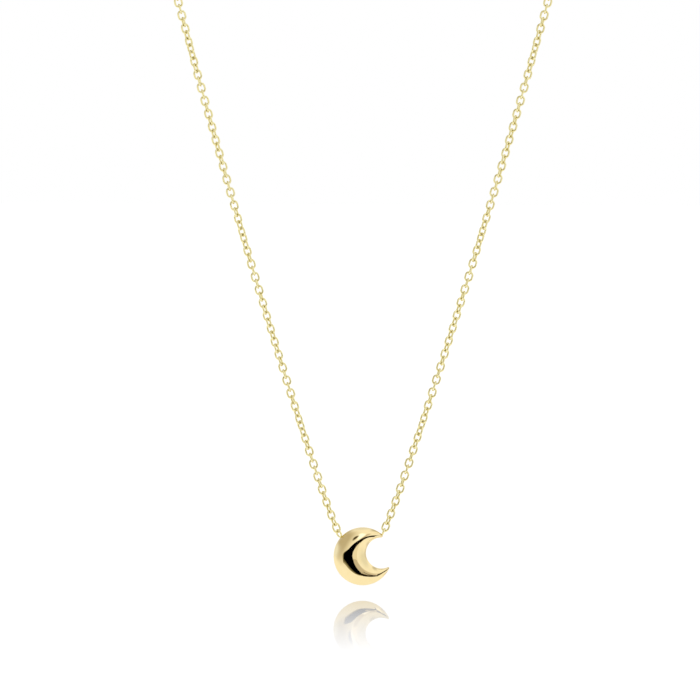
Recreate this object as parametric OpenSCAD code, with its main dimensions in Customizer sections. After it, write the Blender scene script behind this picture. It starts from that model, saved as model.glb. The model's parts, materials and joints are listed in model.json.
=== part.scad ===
// Crescent moon pendant on a fine oval-link chain, hung as it is worn.
// The chain rests over two shoulders and round the back of a slim neck.
// Millimetres, +Z up, front towards -Y. The origin is midway between the
// two shoulders, where the neck holds the chain up.

/* [Chain] */
// Thickness of the round wire in the oval links
wire_d = 0.31; // [0.3:0.01:0.32]
// Outside length of one oval link
link_l = 1.70; // [1.68:0.01:1.74]
// Outside width of one oval link
link_w = 1.36; // [1.32:0.01:1.44]
// Play left where one link hooks into the next
link_play = 0.032; // [0.026:0.002:0.04]

/* [Drape] */
// Pull along the chain at its flattest, as a length of chain
chain_pull = 101.3; // [98:0.1:105]
// Half of the pendant's weight, as a length of chain
pendant_load = 296; // [290:1:302]
// Distance of each strand from the middle at the pendant
strand_gap = 3.9; // [3.8:0.05:4]
// How far the lowest links lean in towards the pendant
lean_in = 0.3; // [0.2:0.05:0.4]
// Largest roll of the chain about its own length, each way
roll_swing = 70; // [60:1:75]
// Length of chain in which that roll comes and goes once
roll_period = 60.4; // [58:0.2:62]

/* [Neck] */
// Rise of the chain from the shoulders to the nape, in degrees
neck_slope = 15; // [10:1:20]
// Radius of the bend over each shoulder
shoulder_r = 8; // [7:0.5:9]

/* [Moon] */
// Radius of the moon's round outer edge
moon_r = 4.54; // [4.45:0.01:4.6]
// Radius of the round hollow inside the crescent
hollow_r = 2.41; // [2.35:0.01:2.45]
// Thickness of the moon at its widest
moon_t = 2.3; // [2:0.1:2.6]
// Thickness of the wire in the two soldered loops
loop_wire_d = 0.3; // [0.28:0.01:0.32]

/* [Clasp] */
// Outside diameter of the spring ring's tube
tube_d = 1.1; // [1.08:0.01:1.14]
// Radius of the spring ring to the middle of its tube
clasp_r = 2.2; // [2.15:0.05:2.3]
// Diameter of the sliding bolt
bolt_d = 0.68; // [0.66:0.01:0.7]
// Thickness of the wire in the jump rings
ring_wire_d = 0.45; // [0.43:0.01:0.47]

/* [Hidden] */
$fn = 24;
SLICES = 6;
SLICE_LINKS = 23;
NECK_PARTS = 3;
NECK_LINKS = 20;
SHOULDER_LINKS = 12;
SIDES = ["left", "right"];

function chain_name(side, part, i) = str(SIDES[side], "_", part, "_", i);

GOLD = [0.93, 0.80, 0.50];
MOON_GOLD = [0.88, 0.74, 0.42];
STEEL = [0.75, 0.75, 0.76];
DEG = 180 / PI;

wire_r = wire_d / 2;
pitch = link_l - 2 * wire_d - link_play;
// From a link's centre to the middle of the wire at its end
link_reach = (link_l - wire_d) / 2;

// ---- The curve that one strand follows, by its length s from the pendant ----
// The right strand is written here, and the left one is its mirror image.

function asinh(v) = ln(v + sqrt(v * v + 1));
function hang_x(s) = strand_gap
  + chain_pull * (asinh((s + pendant_load) / chain_pull) - asinh(pendant_load / chain_pull))
  - lean_in * exp(-s / LEAN_LENGTH);
function hang_z(s) = sqrt(pow(chain_pull, 2) + pow(s + pendant_load, 2));

LEAN_LENGTH = 3;
FIRST_LINK = [0.45, 0.68];
drape_end = FIRST_LINK[1] + (SLICES * SLICE_LINKS - 0.5) * pitch;

function drape_point(s) = [hang_x(s), 0, hang_z(s) - hang_z(drape_end)];
function unit(v) = v / norm(v);

STEP = 0.01;
rise = unit(drape_point(drape_end + STEP) - drape_point(drape_end - STEP));
back = [0, cos(neck_slope), sin(neck_slope)];
bend_angle = acos(rise * back);
bend_way = unit(back - cos(bend_angle) * rise);
bend_length = shoulder_r * bend_angle / DEG;
neck_start = drape_end + bend_length;

function bend_point(s) = let (a = (s - drape_end) / shoulder_r * DEG)
  drape_point(drape_end) + shoulder_r * (sin(a) * rise + (1 - cos(a)) * bend_way);

neck_corner = bend_point(neck_start);
neck_r = neck_corner[0];
function neck_angle(s) = (s - neck_start) / neck_r * DEG;
function neck_point(s) = let (a = neck_angle(s))
  [neck_r * cos(a), neck_corner[1], neck_corner[2]] + neck_r * sin(a) * back;

function chain_point(s) =
  s < drape_end ? drape_point(s) : s < neck_start ? bend_point(s) : neck_point(s);
function chain_way(s) = unit(chain_point(s + STEP) - chain_point(s - STEP));
function inward(s) = let (a = s < neck_start ? 0 : neck_angle(s))
  -cos(a) * [1, 0, 0] - sin(a) * back;

// The chain rolls slowly about its own length, and lies straight round the neck
ROLL_MIDDLE = 45;
ROLL_PEAK = 32.8;
ROLL_ENDS = 130;
ROLL_FADE = 35;
function chain_roll(s) = min(1, max(0, (ROLL_ENDS - s) / ROLL_FADE))
  * (ROLL_MIDDLE + roll_swing * cos(360 * (s - ROLL_PEAK) / roll_period));

// ---- Building blocks ----

module ring(mid_r, wire) {
  rotate_extrude() translate([mid_r, 0]) circle(d = wire);
}

// One oval link, standing in the XZ plane
module link() {
  bow_r = (link_w - wire_d) / 2;
  straight = link_l - link_w;
  for (end = [0, 1])
    translate([0, 0, (end - 0.5) * straight]) rotate([90, 0, 0])
      rotate_extrude(angle = 180, start = end == 0 ? 180 : 0)
        translate([bow_r, 0]) circle(d = wire_d);
  for (side = [-1, 1])
    translate([side * bow_r, 0, -straight / 2]) cylinder(d = wire_d, h = straight);
}

// Puts its children at a point of the right strand, their Z along the chain
module on_chain(s, roll) {
  p = chain_point(s);
  w = chain_way(s);
  a = inward(s);
  x = unit(a - (a * w) * w);
  y = cross(w, x);
  multmatrix([
    [x[0], y[0], w[0], p[0]],
    [x[1], y[1], w[1], p[1]],
    [x[2], y[2], w[2], p[2]],
    [0, 0, 0, 1]
  ]) rotate([0, 0, roll]) children();
}

module chain_links(side, first, count) {
  color(GOLD) mirror([side == 0 ? 1 : 0, 0, 0])
    for (i = [first:first + count - 1]) {
      s = FIRST_LINK[side] + i * pitch;
      on_chain(s, 90 * i + chain_roll(s)) link();
    }
}

module drape(side, i) {
  chain_links(side, (SLICES - i) * SLICE_LINKS, SLICE_LINKS);
}

module shoulder(side) {
  chain_links(side, SLICES * SLICE_LINKS, SHOULDER_LINKS);
}

module neck(side, i) {
  chain_links(side, SLICES * SLICE_LINKS + SHOULDER_LINKS + (i - 1) * NECK_LINKS, NECK_LINKS);
}

// ---- The pendant ----

moon_x = 0.32;
// Depth of the moon's centre below the point where the two strands' curves begin
MOON_DROP = 4;
moon_z = hang_z(0) - hang_z(drape_end) - MOON_DROP;
HOLLOW = [2.93, 0.53];
// The sweep runs from the lower horn, round the left, to the upper horn
OUTER_ENDS = [334.2, 50];
INNER_ENDS = [292.6, 95];
MOON_SECTIONS = 44;
SECTION_SIDES = 20;
TIP_STEPS = [70, 40, 15];
// How quickly the moon thins towards its horns: 1 is in step with its width
THINNING = 0.75;

function moon_outer(t) = let (a = OUTER_ENDS[0] + t * (OUTER_ENDS[1] - OUTER_ENDS[0]))
  moon_r * [cos(a), sin(a)];
function moon_inner(t) = let (a = INNER_ENDS[0] + t * (INNER_ENDS[1] - INNER_ENDS[0]))
  HOLLOW + hollow_r * [cos(a), sin(a)];
function half_width(t) = norm(moon_outer(t) - moon_inner(t)) / 2;
function half_depth(t) = moon_t / 2 * pow(half_width(t) / half_width(0.5), THINNING);

// One oval section of the moon, shrunk and pushed outwards where a tip is rounded
function moon_section(t, shrink, push) =
  let (o = moon_outer(t), i = moon_inner(t), m = (o + i) / 2, across = (o - i) / 2)
  let (along = unit([-across[1], across[0]]) * (t < 0.5 ? 1 : -1))
  [for (k = [0:SECTION_SIDES - 1]) let (a = 360 * k / SECTION_SIDES)
    let (p = m + shrink * cos(a) * across + push * half_width(t) * along)
    [p[0], shrink * sin(a) * half_depth(t), p[1]]];

module moon() {
  rings = concat(
    [for (a = TIP_STEPS) moon_section(0, cos(a), sin(a))],
    [for (k = [0:MOON_SECTIONS]) moon_section(k / MOON_SECTIONS, 1, 0)],
    [for (k = [len(TIP_STEPS) - 1:-1:0]) moon_section(1, cos(TIP_STEPS[k]), sin(TIP_STEPS[k]))]
  );
  n = SECTION_SIDES;
  last = len(rings) - 1;
  sides = [for (j = [0:last - 1]) for (k = [0:n - 1])
    [j * n + k, j * n + (k + 1) % n, (j + 1) * n + (k + 1) % n, (j + 1) * n + k]];
  ends = [[for (k = [n - 1:-1:0]) k], [for (k = [0:n - 1]) last * n + k]];
  color(MOON_GOLD) translate([moon_x, 0, moon_z])
    polyhedron([for (r = rings) each r], concat(sides, ends), convexity = 6);
}

// A soldered loop, hooked through the lowest link of its strand
LOOP_R = [0.6, 0.5];
LOOP_TURN = [60, 90];
loop_drop = link_reach - wire_r - loop_wire_d / 2 - link_play;
module soldered_loop(side) {
  s = FIRST_LINK[side];
  color(GOLD) mirror([side == 0 ? 1 : 0, 0, 0])
    on_chain(s, LOOP_TURN[side]) translate([0, 0, -loop_drop - LOOP_R[side]])
      rotate([90, 0, 0]) ring(LOOP_R[side], loop_wire_d);
}

// ---- The clasp, at the nape. The two rings lie in the sloping plane of the neck,
// and the spring ring and the tag hang straight down from them. ----

ring_r = ring_wire_d / 2;
last_link = SLICES * SLICE_LINKS + SHOULDER_LINKS + NECK_PARTS * NECK_LINKS - 1;
function last_angle(side) = neck_angle(FIRST_LINK[side] + last_link * pitch);
function last_x(side) = neck_r * cos(last_angle(side)) - link_reach * sin(last_angle(side));
function last_y(side) = neck_r * sin(last_angle(side)) + link_reach * cos(last_angle(side));
clasp_y = (last_y(0) + last_y(1)) / 2;
ring_step = wire_r + ring_r + link_play;
// Where the two rings are hooked by the chain's last links
hook_outer = -last_x(0) - ring_step;
jump_outer = last_x(1) + ring_step;

// The clasp hangs a little below the line of the chain
HANG = 12;
clasp_drop = clasp_r * sin(HANG);
HOOK_R = 1.42;
HOOK_GAP = 0.1;
hook_x = hook_outer + HOOK_R;
clasp_x = hook_x + HOOK_R - ring_r - HOOK_GAP - tube_d / 2 + clasp_r * cos(HANG);
EYE_R = 0.55;
EYE_WIRE = 0.4;
EYE_GAP = 0.05;
EYE_SUNK = 0.1;
eye_out = clasp_r + tube_d / 2 + EYE_R - EYE_SUNK;
eye_x = clasp_x + sqrt(pow(eye_out, 2) - pow(clasp_drop, 2));
jump_inner = eye_x + EYE_R - EYE_WIRE / 2 - ring_r - EYE_GAP;
jump_r = (jump_outer - jump_inner) / 2;

module at_nape() {
  translate([0, neck_corner[1], neck_corner[2]]) rotate([neck_slope, 0, 0])
    translate([0, clasp_y, 0]) children();
}

// What hangs straight down from a point of the sloping line across the nape
module hung_at(x, y) {
  at_nape() translate([x, y, 0]) rotate([-neck_slope, 0, 0]) children();
}

// The spring ring's own frame: its ring in XZ, its angles counted from +X to +Z
module at_clasp() {
  hung_at(clasp_x, 0) translate([0, 0, -clasp_drop]) rotate([90, 0, 0]) children();
}

MOUTH = [-135, -90];
BOLT_END = 7;
BOLT_LENGTH = 96;
KNOB_AT = -72;
SLOT_END = -22;
tube_bore = bolt_d + 0.08;
SLOT_W = 0.44;
// How far the slot runs on past the knob's two end positions, in degrees
SLOT_EASE = 8;
STOP_AT = 72;
// Extra turn of the bore, so that it breaks out cleanly at the mouth
BORE_LEAD = 20;
KNOB_D = 0.6;
KNOB_STEM = 0.32;
KNOB_GAP = 0.05;

module clasp_tube() {
  color(GOLD) at_clasp() {
    difference() {
      rotate_extrude(start = MOUTH[1], angle = 360 + MOUTH[0] - MOUTH[1])
        translate([clasp_r, 0]) circle(d = tube_d);
      rotate_extrude(start = MOUTH[0] - BORE_LEAD, angle = STOP_AT - MOUTH[0] + BORE_LEAD)
        translate([clasp_r, 0]) circle(d = tube_bore);
      rotate_extrude(start = KNOB_AT - SLOT_EASE, angle = SLOT_END - KNOB_AT + 2 * SLOT_EASE)
        translate([clasp_r + tube_bore / 4, -SLOT_W / 2]) square([tube_d, SLOT_W]);
    }
  }
}

module clasp_bolt() {
  color(GOLD) at_clasp()
    rotate_extrude(start = MOUTH[0] - BOLT_END, angle = BOLT_LENGTH)
      translate([clasp_r, 0]) circle(d = bolt_d);
}

module clasp_knob() {
  color(GOLD) at_clasp() rotate([0, 0, KNOB_AT]) rotate([0, 90, 0]) {
    translate([0, 0, clasp_r + bolt_d / 4]) cylinder(d = KNOB_STEM, h = tube_d / 2 + KNOB_GAP);
    translate([0, 0, clasp_r + tube_d / 2 + KNOB_GAP + KNOB_D / 2]) sphere(d = KNOB_D);
  }
}

// The coil spring that pushes the bolt shut, inside the tube
SPRING_TURNS = 12;
SPRING_STEPS = 10;
SPRING_SIDES = 5;
SPRING_WIRE = 0.08;
// Clear turn left between the spring and the bolt, and between the spring and the stop
SPRING_GAPS = [4, 3];
COIL_GAP = 0.05;
spring_start = MOUTH[0] - BOLT_END + BOLT_LENGTH + SPRING_GAPS[0];
spring_angle = STOP_AT - SPRING_GAPS[1] - spring_start;
coil_r = tube_bore / 2 - SPRING_WIRE / 2 - COIL_GAP;
function spring_ring(q) =
  let (a = spring_start + spring_angle * q / (SPRING_TURNS * SPRING_STEPS))
  let (b = 360 * q / SPRING_STEPS, out = [cos(a), sin(a), 0], up = [0, 0, 1])
  let (arm = cos(b) * out + sin(b) * up, side_way = [-sin(a), cos(a), 0])
  [for (k = [0:SPRING_SIDES - 1]) let (c = 360 * k / SPRING_SIDES)
    clasp_r * out + coil_r * arm + SPRING_WIRE / 2 * (cos(c) * arm + sin(c) * side_way)];

module clasp_spring() {
  rings = [for (q = [0:SPRING_TURNS * SPRING_STEPS]) spring_ring(q)];
  n = SPRING_SIDES;
  last = len(rings) - 1;
  sides = [for (j = [0:last - 1]) for (k = [0:n - 1])
    [j * n + k, (j + 1) * n + k, (j + 1) * n + (k + 1) % n, j * n + (k + 1) % n]];
  ends = [[for (k = [0:n - 1]) k], [for (k = [n - 1:-1:0]) last * n + k]];
  color(STEEL) at_clasp()
    polyhedron([for (r = rings) each r], concat(sides, ends), convexity = 12);
}

module clasp_eye() {
  color(GOLD) hung_at(eye_x, 0) rotate([90, 0, 0]) ring(EYE_R, EYE_WIRE);
}

module jump_ring() {
  color(GOLD) at_nape() translate([(jump_inner + jump_outer) / 2, 0, 0])
    ring(jump_r, ring_wire_d);
}

module hook_ring() {
  color(GOLD) at_nape() translate([hook_x, 0, 0]) ring(HOOK_R, ring_wire_d);
}

// The small plain tag hangs straight down from the back of the hook ring
TAG_RING_R = 0.62;
TAG_RING_WIRE = 0.28;
TAG_L = 4.2;
TAG_W = 2.4;
TAG_T = 0.36;
TAG_HOLE = 0.9;
// Metal left between the hole and the tag's end
TAG_HOLE_EDGE = 0.3;
tag_ring_z = ring_r + TAG_RING_WIRE / 2 + link_play - TAG_RING_R;
tag_hole_z = tag_ring_z - TAG_RING_R + TAG_RING_WIRE / 2 + link_play - TAG_HOLE / 2;

module tag_ring() {
  color(GOLD) hung_at(hook_x, HOOK_R) translate([0, 0, tag_ring_z]) rotate([0, 90, 0])
    ring(TAG_RING_R, TAG_RING_WIRE);
}

module end_tag() {
  round_z = TAG_W / 2 - TAG_HOLE / 2 - TAG_HOLE_EDGE;
  color(GOLD) hung_at(hook_x, HOOK_R) translate([0, TAG_T / 2, tag_hole_z]) rotate([90, 0, 0])
    difference() {
      union() {
        translate([0, -round_z, 0]) cylinder(d = TAG_W, h = TAG_T, $fn = 48);
        translate([0, -round_z - TAG_L + TAG_W, 0]) cylinder(d = TAG_W, h = TAG_T, $fn = 48);
        translate([-TAG_W / 2, -round_z - TAG_L + TAG_W, 0])
          cube([TAG_W, TAG_L - TAG_W, TAG_T]);
      }
      translate([0, 0, -1]) cylinder(d = TAG_HOLE, h = TAG_T + 2);
    }
}

moon();
soldered_loop(0);  // left_loop
soldered_loop(1);  // right_loop
for (side = [0, 1]) {
  for (i = [1:SLICES])
    drape(side, i);
  shoulder(side);
  for (i = [1:NECK_PARTS])
    neck(side, i);
}
clasp_tube();
clasp_bolt();
clasp_knob();
clasp_spring();
clasp_eye();
jump_ring();
hook_ring();
tag_ring();
end_tag();
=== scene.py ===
"""Crescent moon necklace: looks, camera and light. Metres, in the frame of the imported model."""
import json
import math

import bmesh
import bpy
from mathutils import Matrix, Vector


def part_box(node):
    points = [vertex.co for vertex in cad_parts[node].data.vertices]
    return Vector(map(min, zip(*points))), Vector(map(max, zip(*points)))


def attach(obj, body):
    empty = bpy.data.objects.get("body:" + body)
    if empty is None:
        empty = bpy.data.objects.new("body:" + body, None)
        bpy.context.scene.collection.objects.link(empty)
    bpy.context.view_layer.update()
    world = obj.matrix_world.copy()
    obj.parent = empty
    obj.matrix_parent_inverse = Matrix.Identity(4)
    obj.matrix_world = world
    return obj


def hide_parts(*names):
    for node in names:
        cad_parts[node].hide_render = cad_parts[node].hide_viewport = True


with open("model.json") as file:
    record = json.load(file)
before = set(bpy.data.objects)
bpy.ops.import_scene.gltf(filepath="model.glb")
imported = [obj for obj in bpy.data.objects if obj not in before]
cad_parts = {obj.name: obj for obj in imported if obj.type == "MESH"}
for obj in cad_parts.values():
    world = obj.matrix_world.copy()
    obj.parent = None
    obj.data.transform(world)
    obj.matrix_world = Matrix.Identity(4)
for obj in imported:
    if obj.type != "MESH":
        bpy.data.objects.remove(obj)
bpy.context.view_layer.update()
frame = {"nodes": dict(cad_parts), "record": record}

MM = 0.001
WHITE = (1, 1, 1)
BLACK = (0, 0, 0)

# ---- The moon's driving sizes: two circles, one inside the other, and a rounded section ----

MOON_R = 4.54 * MM
HOLLOW_R = 2.41 * MM
HOLLOW_AT = (2.93 * MM, 0.53 * MM)
MOON_T = 2.3 * MM
# The two horns on each circle, lower one first, in degrees from the right
OUTER_ENDS = (334.2, 50.0)
INNER_ENDS = (292.6, 95.0)
# The depth falls with this power of the width
DEPTH_POWER = 0.75
# How finely it is swept: sections along it, points round a section, rings on each rounded tip
MOON_SECTIONS = 220
SECTION_SIDES = 96
TIP_RINGS = 14

moon_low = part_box("moon")[0]
moon_centre = Vector((moon_low.x + MOON_R, 0, moon_low.z + MOON_R))

# ---- Camera: a long lens, a little above the pendant ----

VIEW_WIDTH = 108.5 * MM
LENS = 200
SENSOR = 36
CLIP = (0.01, 20)
ELEVATION = math.radians(3)
ROLL = math.radians(0.22)
AIM_FROM_MOON = Vector((-2.22 * MM, 0, 32.1 * MM))


def make_camera():
    data = bpy.data.cameras.new("camera")
    data.lens = LENS
    data.sensor_width = SENSOR
    data.clip_start, data.clip_end = CLIP
    camera = bpy.data.objects.new("camera", data)
    bpy.context.scene.collection.objects.link(camera)
    distance = VIEW_WIDTH * LENS / SENSOR
    away = Vector((0, -math.cos(ELEVATION), math.sin(ELEVATION)))
    camera.location = moon_centre + AIM_FROM_MOON + distance * away
    camera.rotation_euler = (math.pi / 2 - ELEVATION, -ROLL, 0)
    bpy.context.scene.camera = camera


# ---- Node building ----

# Most of a noise texture's values lie between these two
NOISE_LOW = 0.3
NOISE_HIGH = 0.7


def fill(node, settings):
    """Set a node's inputs, or else its own properties, by their names with _ for a space."""
    for key, value in settings.items():
        socket = key.replace("_", " ")
        if socket in node.inputs:
            node.inputs[socket].default_value = value
        else:
            setattr(node, key, value)
    return node


class Nodes:
    """A node tree, with short calls for the nodes used here."""

    def __init__(self, tree, output):
        self.tree = tree
        self.output = tree.nodes[output]

    def add(self, kind, **settings):
        return fill(self.tree.nodes.new(kind), settings)

    def link(self, out, into):
        self.tree.links.new(out, into)

    def show(self, surface):
        self.link(surface, self.output.inputs["Surface"])

    def ranged(self, value, low, high, start=NOISE_LOW, end=NOISE_HIGH, shape="LINEAR"):
        made = self.add("ShaderNodeMapRange", interpolation_type=shape,
                        From_Min=start, From_Max=end, To_Min=low, To_Max=high)
        self.link(value, made.inputs["Value"])
        return made.outputs["Result"]

    def length(self, vector):
        made = self.add("ShaderNodeVectorMath", operation="LENGTH")
        self.link(vector, made.inputs[0])
        return made.outputs["Value"]

    def blend(self, factor, first, second):
        made = self.add("ShaderNodeMix", data_type="RGBA")
        for into, value in (("Factor_Float", factor), ("A_Color", first), ("B_Color", second)):
            socket = next(s for s in made.inputs if s.identifier == into)
            if isinstance(value, bpy.types.NodeSocket):
                self.link(value, socket)
            else:
                socket.default_value = (*value, 1)
        return next(s for s in made.outputs if s.identifier == "Result_Color")

    def mix_shaders(self, factor, first, second):
        made = self.add("ShaderNodeMixShader")
        for socket, value in zip(made.inputs, (factor, first, second)):
            self.link(value, socket)
        return made.outputs[0]


class Material(Nodes):
    """A new material's nodes, placed by the object's own coordinates."""

    def __init__(self, name, **values):
        self.material = bpy.data.materials.new(name)
        self.material.use_nodes = True
        super().__init__(self.material.node_tree, "Material Output")
        self.shader = fill(self.tree.nodes["Principled BSDF"], values)
        self.place = self.add("ShaderNodeTexCoord").outputs["Object"]

    def noise(self, per_mm, detail, roughness=0.5, stretch=(1, 1, 1)):
        scaled = self.add("ShaderNodeMapping", Scale=[s / MM * per_mm for s in stretch])
        self.link(self.place, scaled.inputs["Vector"])
        made = self.add("ShaderNodeTexNoise", Scale=1.0, Detail=detail, Roughness=roughness)
        self.link(scaled.outputs["Vector"], made.inputs["Vector"])
        return made.outputs["Fac"]

    def bump(self, height, strength, depth, normal=None):
        made = self.add("ShaderNodeBump", Strength=strength, Distance=depth)
        self.link(height, made.inputs["Height"])
        if normal is not None:
            self.link(normal, made.inputs["Normal"])
        return made.outputs["Normal"]


# ---- Metals ----

WAVE_DEPTH = 0.05 * MM
HAIRLINE_DEPTH = 0.004 * MM
# Painted shade: the gold's colour is darkened towards a dark brown where another surface is this close,
# standing in for the darker doubled reflections between links
PAINTED_SHADE_REACH = 0.16 * MM
PAINTED_SHADE_TINT = (0.20, 0.15, 0.06)
PAINTED_SHADE_SAMPLES = 6
ENCLOSED = 0.2
OPEN = 0.8


def gold(name, bright, deep, rough, waviness, scratches, painted_crevice_shade=0.0):
    """Polished gold: patches of two tints, haze from handling, soft polishing waves and hairlines, and,
    when asked, painted shade where another surface is close.
    """
    n = Material(name, Metallic=1.0)
    patches = n.ranged(n.noise(per_mm=0.9, detail=4), 0.0, 1.0)
    tint = n.blend(patches, bright, deep)
    # Painted shade: the tint is darkened where ambient occlusion finds another surface close, fully
    # below ENCLOSED and not at all above OPEN
    if painted_crevice_shade:
        near = n.add("ShaderNodeAmbientOcclusion", samples=PAINTED_SHADE_SAMPLES, Distance=PAINTED_SHADE_REACH)
        shade = n.ranged(near.outputs["AO"], painted_crevice_shade, 0.0, ENCLOSED, OPEN)
        tint = n.blend(shade, tint, PAINTED_SHADE_TINT)
    n.link(tint, n.shader.inputs["Base Color"])
    haze = n.noise(per_mm=1.6, detail=5, roughness=0.6)
    n.link(n.ranged(haze, *rough), n.shader.inputs["Roughness"])
    waves = n.bump(n.noise(per_mm=0.7, detail=1), waviness, WAVE_DEPTH)
    hairs = n.noise(per_mm=9, detail=2, roughness=0.6, stretch=(1, 1, 0.06))
    n.link(n.bump(hairs, scratches, HAIRLINE_DEPTH, waves), n.shader.inputs["Normal"])
    return n.material


def steel(name, bright, deep, rough, scratches):
    """Drawn spring wire: grey, mottled and finely marked by the die."""
    n = Material(name, Metallic=1.0)
    marks = n.noise(per_mm=14, detail=3, roughness=0.6)
    n.link(n.blend(marks, bright, deep), n.shader.inputs["Base Color"])
    n.link(n.ranged(marks, *rough), n.shader.inputs["Roughness"])
    n.link(n.bump(marks, scratches, HAIRLINE_DEPTH), n.shader.inputs["Normal"])
    return n.material


# Two tints of each metal: the moon's gold is the warmest, the fine chain's the palest
MOON_TINTS = ((1.0, 0.83, 0.47), (0.97, 0.79, 0.42))
PALE_TINTS = ((0.99, 0.90, 0.50), (0.95, 0.84, 0.42))
WARM_TINTS = ((0.99, 0.86, 0.47), (0.95, 0.79, 0.40))
STEEL_TINTS = ((0.62, 0.62, 0.63), (0.42, 0.42, 0.44))

# The finish of the record's gold material slots, with the strength of the painted shade where surfaces
# are close
GOLDS = {
    "moon_gold": (MOON_TINTS, dict(rough=(0.01, 0.035), waviness=0.05, scratches=0.02)),
    "loop_gold": (PALE_TINTS, dict(rough=(0.08, 0.16), waviness=0.06, scratches=0.05, painted_crevice_shade=0.5)),
    "chain_gold": (PALE_TINTS, dict(rough=(0.10, 0.20), waviness=0.10, scratches=0.06, painted_crevice_shade=0.7)),
    "clasp_gold": (WARM_TINTS, dict(rough=(0.07, 0.15), waviness=0.06, scratches=0.06, painted_crevice_shade=0.5)),
    "tag_gold": (WARM_TINTS, dict(rough=(0.18, 0.30), waviness=0.06, scratches=0.25)),
}


def make_materials():
    made = {name: gold(name, *tints, **finish) for name, (tints, finish) in GOLDS.items()}
    made["spring_steel"] = steel("spring_steel", *STEEL_TINTS, rough=(0.22, 0.4), scratches=0.2)
    return made


def paint(piece, material):
    piece.data.materials.clear()
    piece.data.materials.append(material)
    for face in piece.data.polygons:
        face.material_index = 0
        face.use_smooth = True


# ---- The moon: the same two circles as the CAD solid, swept finely enough for a mirror polish ----


def arc_point(ends, t, radius, centre=(0.0, 0.0)):
    a = math.radians(ends[0] + t * (ends[1] - ends[0]))
    return Vector((centre[0] + radius * math.cos(a), centre[1] + radius * math.sin(a)))


def edges_at(t):
    return arc_point(OUTER_ENDS, t, MOON_R), arc_point(INNER_ENDS, t, HOLLOW_R, HOLLOW_AT)


def half_width(t):
    outer, inner = edges_at(t)
    return (outer - inner).length / 2


def moon_ring(t, shrink, push):
    """One section, t of the way from lower to upper horn. A tip's rings shrink and move outwards."""
    outer, inner = edges_at(t)
    middle = (outer + inner) / 2
    across = (outer - inner) / 2
    along = Vector((-across.y, across.x)).normalized() * (1 if t < 0.5 else -1)
    depth = MOON_T / 2 * (half_width(t) / half_width(0.5)) ** DEPTH_POWER
    ring = []
    for k in range(SECTION_SIDES):
        a = 2 * math.pi * k / SECTION_SIDES
        p = middle + shrink * math.cos(a) * across + push * half_width(t) * along
        ring.append(moon_centre + Vector((p.x, shrink * math.sin(a) * depth, p.y)))
    return ring


def moon_rings():
    tips = [math.radians(90 * (1 - (k + 0.5) / TIP_RINGS)) for k in range(TIP_RINGS)]
    rings = [moon_ring(0, math.cos(a), math.sin(a)) for a in tips]
    rings += [moon_ring(k / MOON_SECTIONS, 1, 0) for k in range(MOON_SECTIONS + 1)]
    rings += [moon_ring(1, math.cos(a), math.sin(a)) for a in reversed(tips)]
    return rings


def make_moon(material):
    made = bmesh.new()
    verts = [[made.verts.new(p) for p in ring] for ring in moon_rings()]
    for first, second in zip(verts, verts[1:]):
        for k in range(SECTION_SIDES):
            after = (k + 1) % SECTION_SIDES
            made.faces.new((first[k], first[after], second[after], second[k]))
    for ring in (verts[0], verts[-1]):
        centre = made.verts.new(sum((v.co for v in ring), Vector()) / SECTION_SIDES)
        for k in range(SECTION_SIDES):
            made.faces.new((ring[k], ring[(k + 1) % SECTION_SIDES], centre))
    bmesh.ops.recalc_face_normals(made, faces=made.faces)
    mesh = bpy.data.meshes.new("polished_moon")
    made.to_mesh(mesh)
    made.free()
    moon = bpy.data.objects.new("polished_moon", mesh)
    bpy.context.scene.collection.objects.link(moon)
    paint(moon, material)
    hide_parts("moon")
    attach(moon, "pendant")


# ---- Floor: pale and shining evenly, with a soft-edged gloss under the pendant ----

FLOOR_GAP = 1.2 * MM
FLOOR_SIZE = 8.0
FLOOR_GREY = (0.4, 0.4, 0.4)
FLOOR_GLOW = 0.74
GLOSS_SHARE = 0.68
GLOSS_ROUGHNESS = 0.02
# The gloss is full within the first radius and gone at the second
GLOSS_FADE = (10 * MM, 76 * MM)


def flat_mesh(name, corners, material):
    mesh = bpy.data.meshes.new(name)
    mesh.from_pydata([tuple(c) for c in corners], [], [range(len(corners))])
    mesh.materials.append(material)
    made = bpy.data.objects.new(name, mesh)
    bpy.context.scene.collection.objects.link(made)
    return made


def glowing(name, base, colour, strength):
    """The nodes of a matt surface that shines evenly."""
    return Material(name, Base_Color=(*base, 1), Roughness=1.0, Specular_IOR_Level=0.0,
                    Emission_Color=(*colour, 1), Emission_Strength=strength)


def make_floor():
    n = glowing("floor", FLOOR_GREY, WHITE, FLOOR_GLOW)
    gloss = n.add("ShaderNodeBsdfGlossy", Color=(*WHITE, 1), Roughness=GLOSS_ROUGHNESS)
    shine = n.ranged(n.length(n.place), GLOSS_SHARE, 0.0, *GLOSS_FADE)
    n.show(n.mix_shaders(shine, n.shader.outputs[0], gloss.outputs[0]))
    s = FLOOR_SIZE / 2
    floor = flat_mesh("floor", [(-s, -s, 0), (s, -s, 0), (s, s, 0), (-s, s, 0)], n.material)
    floor.location = (moon_centre.x, 0, moon_low.z - FLOOR_GAP)
    # The gold mirrors the room on every side, not the floor
    floor.visible_glossy = False


# ---- Cards and flags: flat tones that only the polished gold sees, mirrored ----

# The camera looks down on the moon, so what its front mirrors lies this far below level
MIRROR_TILT = math.radians(-3)
# Keeps the straight-ahead direction from dividing by nothing
TINY_TURN = 1e-6


def direction(right, up):
    """A unit vector, turned so many degrees right and up from what the moon's front mirrors."""
    turn = math.hypot(right, up)
    side = math.sin(math.radians(turn)) / max(turn, TINY_TURN)
    level = Vector((side * right, -math.cos(math.radians(turn)), side * up))
    return Matrix.Rotation(-MIRROR_TILT, 3, "X") @ level


BOW_STEPS = 8


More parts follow.
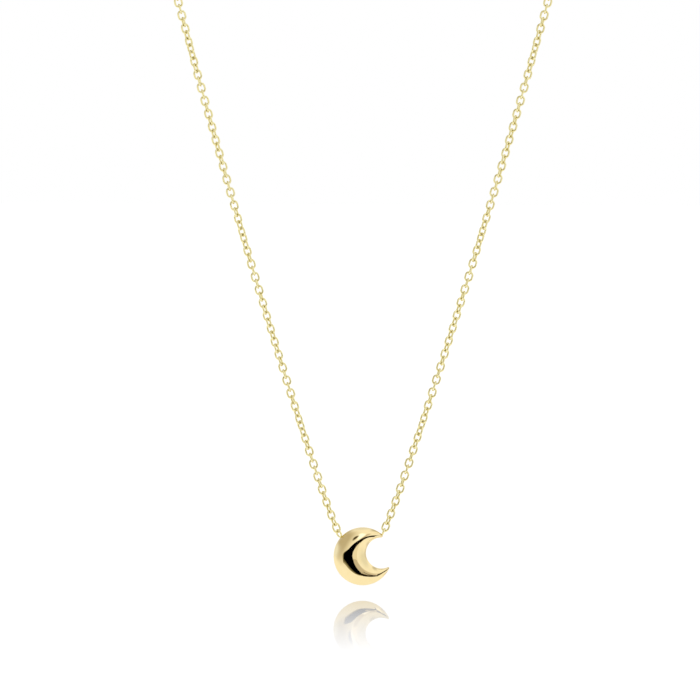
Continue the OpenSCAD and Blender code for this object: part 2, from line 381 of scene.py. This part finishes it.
def bow(*three):
    """Points along the smooth curve through three points, which has the middle one halfway."""
    first, middle, last = map(Vector, three)
    points = []
    for k in range(BOW_STEPS + 1):
        t = k / BOW_STEPS
        points.append((1 - t) * (1 - 2 * t) * first + 4 * t * (1 - t) * middle + t * (2 * t - 1) * last)
    return points


# Far cards in front of the pendant, the darkest one nearest: distance in metres, colour, and an outline
# in degrees right and up. It runs clockwise as the camera sees it, which turns its face to the moon.
# The first two give the black card its soft rim, and the arm carries the dark line out to both horns.
CARDS = {
    "card_edge": (0.76, (0.32, 0.29, 0.20), [
        (-25.5, -1), (-23, 2), (-18, 3.6), (-7, 4.8), (0, 5), (6, 4.2), (9, -2), (9, -12),
        (7, -16.3), (2, -18.8), (-4, -18.8), (-11, -16), (-18, -12.5), (-25, -10.5),
    ]),
    "card_middle": (0.74, (0.10, 0.09, 0.05), [
        (-22.5, 0.5), (-19, 3), (-7, 4.4), (-1, 4.7), (5, 4), (8, 0), (8.5, -7), (9, -13),
        (5, -16), (0, -17), (-6, -15), (-12, -11), (-17, -9), (-23, -8.5),
    ]),
    "card_arm": (0.72, (0.018, 0.012, 0.004), [
        *bow((14, 2.8), (26, -10.3), (31.5, -36)),
        *bow((29.5, -38), (27.4, -24), (24, -13.5)),
        (20, -12.8), (14, -13.5), (9, -15.8), (6, -15),
        *bow((8.4, -8), (13.5, -6), (18.2, -2.9)),
        (16.2, -1),
    ]),
    "black_card": (0.70, BLACK, [
        (-20.5, 1.5), (-18, 2.6),
        *bow((-7, 4.5), (7, 5.4), (19, -1)),
        *bow((19, -2.2), (15.5, -0.4), (10.4, -0.5)),
        *bow((10.4, -3), (9.4, -9), (5, -15.2)),
        *bow((1, -15.8), (-8.5, -10.3), (-21.5, -5)),
    ]),
}

# Small flags close to the moon, where a far card would show twice: how far ahead of its middle plane,
# colour, and an outline right of and above its centre, all in millimetres. They run clockwise too.
# The dark and white ones shape the line at the lower horn, the others the black band's inner edge.
FLAGS = {
    "dark_flag": (2.0, (0.03, 0.022, 0.008), [
        (2.8, -2.7), (3.3, -2.4), (3.7, -2.0), (4.1, -1.6), (4.6, -1.3), (5.5, -1.2),
        (5.5, -2.4), (4.6, -2.45), (4.1, -2.6), (3.7, -2.95), (3.3, -3.25), (2.8, -3.6),
    ]),
    "pale_flag": (2.2, (0.86, 0.83, 0.78), [
        *bow((-1.3, -0.5), (-1.25, 0.8), (0.1, 2.1)),
        *bow((0.25, 1.9), (-0.3, 0.7), (-0.3, -0.5)),
    ]),
    "beige_flag": (2.15, (0.58, 0.54, 0.49), [
        *bow((-0.2, -2.5), (-1, -1.4), (-1.3, -0.4)),
        *bow((-0.7, -0.4), (0, -1.3), (0.8, -2.2)),
        (0.3, -2.5),
    ]),
    "white_flag": (2.2, WHITE, [
        (3.05, -3.5), (3.4, -3.1), (3.8, -2.75), (4.4, -2.4), (4.6, -5.2), (3.1, -5.2),
    ]),
}


def card_corner(distance, right, up):
    way = direction(right, up)
    return moon_centre + way * distance / -way.y


def flag_corner(ahead, right, up):
    return moon_centre + MM * Vector((right, -ahead, up))


def make_card(name, colour, corners):
    """A card seen from the moon's side only, so that the floor doesn't mirror its back."""
    n = glowing(name, BLACK, colour, 1.0)
    back = n.add("ShaderNodeNewGeometry").outputs["Backfacing"]
    clear = n.add("ShaderNodeBsdfTransparent")
    n.show(n.mix_shaders(back, n.shader.outputs[0], clear.outputs[0]))
    card = flat_mesh(name, corners, n.material)
    card.visible_camera = False
    card.visible_diffuse = False
    card.visible_shadow = False


def make_cards():
    for name, (distance, colour, outline) in CARDS.items():
        make_card(name, colour, [card_corner(distance, right, up) for right, up in outline])
    for name, (ahead, colour, outline) in FLAGS.items():
        make_card(name, colour, [flag_corner(ahead, right, up) for right, up in outline])


# ---- Room: white to the camera, and soft patches of light and shade to everything that reflects it ----

# Where each is, turn of its long axis from outwards, half sizes, softness of its edge, colour. Places,
# turns and sizes are in degrees, and a later patch lies over an earlier one.
PATCHES = [
    ((-75, 68), 0, (45, 26), 0.4, (0.60, 0.60, 0.68)),
    ((-45, 28), 0, (40, 32), 0.4, (0.54, 0.50, 0.42)),
    ((-90, 12), 0, (40, 14), 0.5, (0.86, 0.90, 0.98)),
    ((0, 105), 0, (40, 22), 0.4, (0.82, 0.85, 0.94)),
    ((50, 87), 0, (40, 9), 0.5, (0.62, 0.61, 0.60)),
    ((65, 15), 0, (30, 22), 0.5, (0.82, 0.84, 0.86)),
    ((108, -8), 0, (22, 22), 0.5, (0.70, 0.69, 0.74)),
    ((85, -62), 0, (35, 8), 0.5, (0.74, 0.73, 0.80)),
    ((18, 5), -65, (9, 4.5), 0.5, (0.66, 0.61, 0.56)),
    ((13.5, -1.5), 0, (6.5, 6), 0.5, (0.50, 0.46, 0.40)),
    ((9.5, 15), 123, (12, 4.5), 0.5, (1.35, 1.40, 1.60)),
    ((-0.5, 17), 129, (5.5, 4.2), 0.5, (0.08, 0.06, 0.02)),
]
# The room's strength after a second glossy bounce, which deepens the crossings of the links
SECOND_BOUNCE = 0.75
# The step, as a share of a patch's angle, that finds which way is outwards there
STEP = 0.01
QUARTER_TURN = 90


def along(n, seen, axis, reach):
    """How far a direction leans to an axis, as a share of an angle in degrees."""
    dot = n.add("ShaderNodeVectorMath", operation="DOT_PRODUCT")
    n.link(seen, dot.inputs[0])
    dot.inputs[1].default_value = axis / math.sin(math.radians(min(reach, QUARTER_TURN)))
    return dot.outputs["Value"]


def patch_share(n, seen, where, turn, half_sizes, softness):
    """1 in an oval patch of directions, 0 outside it and on the far side, with a soft edge between."""
    right, up = where
    centre = direction(right, up)
    beyond = direction(right * (1 + STEP), up * (1 + STEP))
    before = direction(right * (1 - STEP), up * (1 - STEP))
    outward = (beyond - before).normalized()
    angle = math.radians(turn)
    length = outward * math.cos(angle) - centre.cross(outward) * math.sin(angle)
    place = n.add("ShaderNodeCombineXYZ")
    n.link(along(n, seen, length, half_sizes[0]), place.inputs["X"])
    n.link(along(n, seen, centre.cross(length), half_sizes[1]), place.inputs["Y"])
    inside = n.ranged(n.length(place.outputs[0]), 0.0, 1.0, 1 + softness, 1 - softness, "SMOOTHSTEP")
    ahead = n.add("ShaderNodeMath", operation="GREATER_THAN")
    n.link(along(n, seen, centre, QUARTER_TURN), ahead.inputs[0])
    ahead.inputs[1].default_value = 0.0
    share = n.add("ShaderNodeMath", operation="MULTIPLY")
    n.link(inside, share.inputs[0])
    n.link(ahead.outputs[0], share.inputs[1])
    return share.outputs[0]


def make_room():
    world = bpy.data.worlds.new("white_room")
    world.use_nodes = True
    n = Nodes(world.node_tree, "World Output")
    seen = n.add("ShaderNodeTexCoord").outputs["Generated"]
    colour = WHITE
    for *patch, tint in PATCHES:
        colour = n.blend(patch_share(n, seen, *patch), colour, tint)
    patched = n.tree.nodes["Background"]
    n.link(colour, patched.inputs["Color"])
    light_path = n.add("ShaderNodeLightPath")
    strength = n.ranged(light_path.outputs["Glossy Depth"], 1.0, SECOND_BOUNCE, 1.0, 2.0)
    n.link(strength, patched.inputs["Strength"])
    white = n.add("ShaderNodeBackground", Color=(*WHITE, 1))
    n.show(n.mix_shaders(light_path.outputs["Is Camera Ray"], patched.outputs[0], white.outputs[0]))
    bpy.context.scene.world = world


# ---- Everything together ----


def main():
    bpy.context.scene.view_settings.view_transform = "Standard"
    make_camera()
    materials = make_materials()
    slots = {row["node"]: row["material_slot"] for row in frame["record"]["subparts"]}
    for name, piece in frame["nodes"].items():
        paint(piece, materials[slots[name]])
    make_moon(materials["moon_gold"])
    make_room()
    make_floor()
    make_cards()


main()
